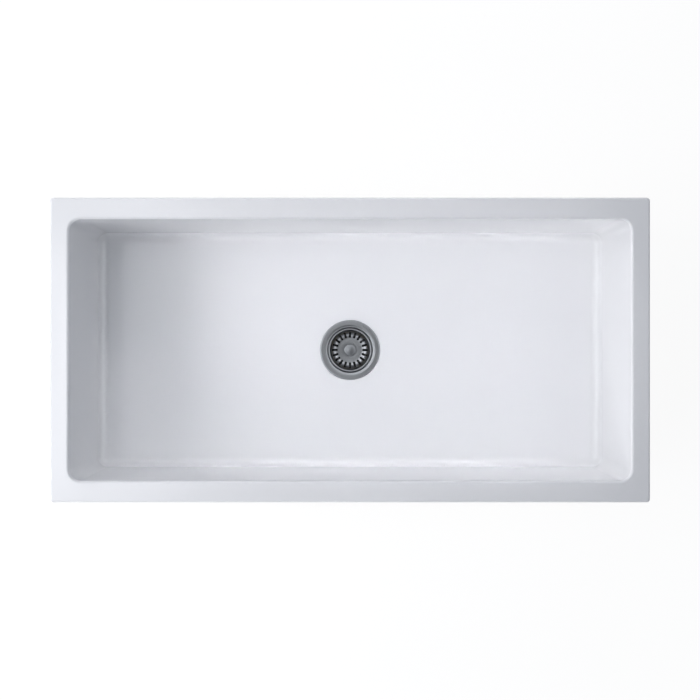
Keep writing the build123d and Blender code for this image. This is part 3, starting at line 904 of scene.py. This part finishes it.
screw_radius = 3.9
screw_tip = 1.0
screw_pitch = 1.25
screw_thread_depth = 0.35
screw_thread_start = 0.4
screw_thread_stop = 1.0
screw_collar_thickness = 1.4
screw_head_radius = 5.6
screw_bore = 3.7
coin_slot_width = 2.0
coin_slot_depth = 2.0
turned_edge = 0.3
inner_edge = 0.1

turned_steel = brushed("turned_stainless_steel", "C4C6C8", "A3A6AA", 0.22, 0.4, 0.006)

screw_low, screw_high = extent("centre_screw")
collar_bottom = washer_high[2]
collar_top = collar_bottom + screw_collar_thickness
slot_floor = screw_high[2] - coin_slot_depth
screw_outline = rounded([
    (0, screw_low[2]),
    (screw_radius - screw_tip, screw_low[2]),
    (screw_radius, screw_low[2] + screw_tip),
    (screw_radius, collar_bottom),
    (screw_high[0], collar_bottom),
    (screw_high[0], collar_top),
    (screw_head_radius, collar_top),
    (screw_head_radius, slot_floor),
    (screw_head_radius, screw_high[2]),
    (screw_bore, screw_high[2]),
    (screw_bore, slot_floor),
    (screw_bore, collar_top),
    (0, collar_top),
], [
    turned_edge, turned_edge, inner_edge, turned_edge, turned_edge, turned_edge, 0,
    turned_edge, turned_edge, 0, turned_edge,
], closed=False, steps=4)[0]

# Thread rows on the shank: the radius dips by the thread's depth once a pitch.
thread_start = screw_low[2] + screw_tip + screw_thread_start
shank = np.arange(thread_start, collar_bottom - screw_thread_stop, screw_pitch / 8)
shank_dip = screw_thread_depth * (0.5 - 0.5 * np.cos(2 * np.pi * (shank - shank[0]) / screw_pitch))
shank_rows = np.column_stack([screw_radius - shank_dip, shank])
first_above = np.flatnonzero(screw_outline[:, 1] > thread_start - 0.05)[0]
screw_outline = np.vstack([screw_outline[:first_above], shank_rows, screw_outline[first_above:]])

# Columns: some across each end of the coin slot, whose sides are parallel, and more along each half between.
end_columns, half_columns = 9, 25
radius, height = screw_outline.T[:, :, None]
slot_turn = np.arcsin(coin_slot_width / 2 / np.maximum(radius, screw_bore))
across_slot = np.linspace(-1, 1, end_columns)
between = np.linspace(0, 1, half_columns)
half_turn = np.hstack([slot_turn * across_slot, slot_turn + (np.pi - 2 * slot_turn) * between])
screw_angle = np.hstack([half_turn, half_turn + np.pi, half_turn[:, :1] + 2 * np.pi])
in_slot = np.append(np.tile(np.arange(end_columns + half_columns) < end_columns, 2), True)
screw_level = np.where(in_slot & (height > slot_floor), slot_floor, height)
screw_points = polar(radius, screw_angle, screw_level)
fit(skin("centre_screw_turned", screw_points), "centre_screw", "sink_and_waste", turned_steel)


# ---- The basket ----
# Pressed from one stainless sheet: a curled rim that stands in the cup, a steep wall, a flat base and a
# wide round bend between them with twenty slots. It lifts out with the plug.

basket_sheet = 0.8
rim_width = 2.3
rim_curl = 2.4
rim_bend = 1.0
wall_taper = 3.1
base_drop = 17.5
base_bend = 16.0
slot_count = 20
slot_width = 4.3
slot_length = 11.0
slot_outer_margin = 1.0
slot_ring = (22.4, 34.9)
bush_radius = 5.0
bush_gap = 0.1

basket_high = extent("basket")[1]
rim_radius = basket_high[0] - basket_sheet / 2
basket_rim_level = basket_high[2] - basket_sheet / 2
wall_radius = rim_radius - rim_width
base_radius = wall_radius - wall_taper
base_level = basket_rim_level - base_drop
slot_outer_radius = base_radius - slot_outer_margin
slot_inner_radius = slot_outer_radius - slot_length
basket_line = rounded([
    (rim_radius, basket_rim_level - rim_curl + basket_sheet / 2),
    (rim_radius, basket_rim_level),
    (wall_radius, basket_rim_level),
    (base_radius, base_level),
    (bush_radius + bush_gap + basket_sheet / 2, base_level),
], [rim_bend, rim_bend, base_bend], closed=False, steps=24)[0]


def basket_slot(growth):
    """A slot with half round ends, grown by a little at its edge."""
    half = slot_width / 2
    return loop(slot_outer_radius - half, slot_inner_radius + half, half + growth, np.pi / 2, 8, 10)


basket_grids = sheet_metal(basket_line, basket_sheet, slot_ring, slot_count, basket_slot, 8, 10)
fit(skin("strainer_basket", *basket_grids), "basket", "plug_basket", spun_steel)


# ---- The plug seal ----
# One moulding of black EPDM rubber under the basket: a boss, and a flap that thins to a lip and closes on
# the dish's ledge.

seal_flap_thickness = 1.8
seal_lip_thickness = 1.2
seal_hub_radius = 12.0
plate_radius = 22.0

plug_low, plug_high = extent("plug_seal")
lip_top = plug_low[2] + seal_lip_thickness
flap_top = plug_low[2] + seal_flap_thickness
seal_outline = rounded([
    (bush_radius, plug_low[2]),
    (plug_high[0], plug_low[2]),
    (plug_high[0], lip_top),
    (plate_radius, flap_top),
    (seal_hub_radius, flap_top),
    (seal_hub_radius, plug_high[2]),
    (bush_radius, plug_high[2]),
], [0, 0.4, 0.5, 2.0, 1.5, 0.5, 0], steps=6)[0]
fit(skin("plug_flap", turned(seal_outline)), "plug_seal", "plug_basket", rubber)


# ---- The seal's backing plate ----
# A flat disc, blanked from stainless sheet, with its edges tumbled round. The bush rivets it hard
# against the rubber from below.

tumbled_edge = 0.25

plate_low, plate_high = extent("seal_plate")
plate = ring(bush_radius, plate_high[0], plate_low[2], plate_high[2], tumbled_edge)
fit(skin("backing_plate", turned(plate)), "seal_plate", "plug_basket", spun_steel)


# ---- The stem's bush ----
# Turned from brass, with a collar above, and put through base, seal and plate. Its lower end is riveted
# over, which holds the three together.

bush_bore = 3.3
bush_collar = 8.0
bush_collar_thickness = 1.0
rivet_radius = 7.0
rivet_thickness = 1.0

bush_low, bush_high = extent("stem_bush")
rivet_top = bush_low[2] + rivet_thickness
collar_foot = bush_high[2] - bush_collar_thickness
bush_outline = rounded([
    (bush_bore, bush_low[2]),
    (rivet_radius, bush_low[2]),
    (rivet_radius, rivet_top),
    (bush_radius, rivet_top),
    (bush_radius, collar_foot),
    (bush_collar, collar_foot),
    (bush_collar, bush_high[2]),
    (bush_bore, bush_high[2]),
], [0.2, 0.7, 0.1, 0.1, 0.1, 0.1, 0.5, 0.3], steps=4)[0]
fit(skin("brass_bush", turned(bush_outline, columns=64)), "stem_bush", "plug_basket", brass)


# ---- The stem ----
# A stainless pin that screws up into the knob and turns in the bush. Its grooves hold the clip and
# the two rubber rings that grip the centre screw when the plug is pushed home.

stem_radius = 3.0
stem_tip = 0.6
clip_groove_radius = 2.3
ring_groove_radius = 2.1
ring_wire = 0.65
ring_levels = (-9.6, -7.0)
groove_gap = 0.1

stem_low, stem_high = extent("plug_stem")
clip_low, clip_high = extent("stem_clip")
groove_half = ring_wire + groove_gap
grooves = [(level - groove_half, level + groove_half, ring_groove_radius) for level in ring_levels]
grooves.append((clip_low[2] - groove_gap, clip_high[2] + groove_gap, clip_groove_radius))
tip = stem_low[2]
stem_corners = [(0, tip), (stem_radius - stem_tip, tip), (stem_radius, tip + stem_tip)]
for bottom, top, radius in grooves:
    stem_corners += [(stem_radius, bottom), (radius, bottom), (radius, top), (stem_radius, top)]
stem_corners += [(stem_radius, stem_high[2]), (0, stem_high[2])]
stem_bends = [0.2] * 2 + [0.1, 0.05, 0.05, 0.1] * len(grooves) + [0.2]
stem_outline = rounded(stem_corners, stem_bends, closed=False, steps=3)[0]
stem_piece = skin("stem", turned(stem_outline, columns=48))
fit(stem_piece, "plug_stem", "knob_and_stem", turned_steel)


# ---- The stem's rings ----
# Two O-rings of moulded black rubber, stretched over the stem into its lower grooves. They grip the
# hollow screw when the plug is pushed home.

section_turn = np.radians(np.arange(24) * 15)
ring_radius = ring_groove_radius + ring_wire + ring_wire * np.cos(section_turn)
ring_height = ring_wire * np.sin(section_turn)
ring_sections = [np.column_stack([ring_radius, level + ring_height]) for level in ring_levels]
ring_grids = [turned(section, columns=64) for section in ring_sections]
fit(skin("o_rings", *ring_grids), "stem_rings", "knob_and_stem", rubber)


# ---- The stem's clip ----
# A flat clip, stamped from spring steel, and pushed into its groove from one side through its mouth. It
# keeps the stem in its bush.

clip_mouth = 3.6
clip_edge = 0.15
clip_columns = 49

clip_section = ring(clip_groove_radius + groove_gap, clip_high[0], clip_low[2], clip_high[2], clip_edge)
clip_section = np.vstack([clip_section, clip_section[:1]])
middle = clip_section.mean(axis=0)
# The section goes from one side of the mouth round to the other, and shrinks to its middle at both ends.
shrink = np.concatenate([[0], np.ones(clip_columns), [0]])
share = np.concatenate([[0], np.linspace(0, 1, clip_columns), [1]])
radius = middle[0] + (clip_section[:, :1] - middle[0]) * shrink
height = middle[1] + (clip_section[:, 1:] - middle[1]) * shrink
mouth_turn = np.arcsin(clip_mouth / 2 / radius)
angle = -np.pi / 2 + mouth_turn + (2 * np.pi - 2 * mouth_turn) * share
clip_points = polar(radius, angle, height)
fit(skin("spring_clip", clip_points), "stem_clip", "knob_and_stem", turned_steel)


# ---- The knob ----
# A little mushroom turned from stainless bar, with a domed top and a satin finish. It screws on the stem
# and lifts the plug.

knob_neck_radius = 4.4
knob_shelf = 6.0
knob_underside_rise = 1.2
knob_edge = 5.4
knob_edge_round = 1.2
knob_dome = 1.8
dome_lead = 1.5
dome_inset = 1.8
knob_hole_radius = 3.05
knob_hole_depth = 11.0

satin_steel = brushed("satin_stainless_steel", "A3A5A8", "888B8F", 0.36, 0.5, 0.003)

knob_low, knob_high = extent("knob")
knob_radius, crown = knob_high[0], knob_high[2]
hole_top = knob_low[2] + knob_hole_depth
edge_bottom = knob_low[2] + knob_shelf + knob_underside_rise
edge_top = edge_bottom + knob_edge
dome_curve = (knob_radius**2 + knob_dome**2) / (2 * knob_dome)
dome_foot = np.arcsin(knob_radius / dome_curve)
neck_line = rounded([
    (0, hole_top),
    (knob_hole_radius, hole_top),
    (knob_hole_radius, knob_low[2]),
    (knob_neck_radius, knob_low[2]),
    (knob_neck_radius, knob_low[2] + knob_shelf),
    (knob_radius, edge_bottom),
    (knob_radius, edge_top),
    (knob_radius - dome_lead, edge_top + dome_lead * np.tan(dome_foot)),
], [0.1, 0.2, 0.4, 1.5, 0.9, knob_edge_round], closed=False, steps=6)[0]
# The dome is a cap of a sphere: with a from its foot to the top, a point of it is
# (curve sin(a), crown - curve + curve cos(a)).
dome_turn = np.linspace(np.arcsin((knob_radius - dome_inset) / dome_curve), 0, 25)
dome_level = crown - dome_curve + dome_curve * np.cos(dome_turn)
dome_line = np.column_stack([dome_curve * np.sin(dome_turn), dome_level])
knob_piece = skin("knob_turned", turned(np.vstack([neck_line, dome_line]), closed=False))
fit(knob_piece, "knob", "knob_and_stem", satin_steel)
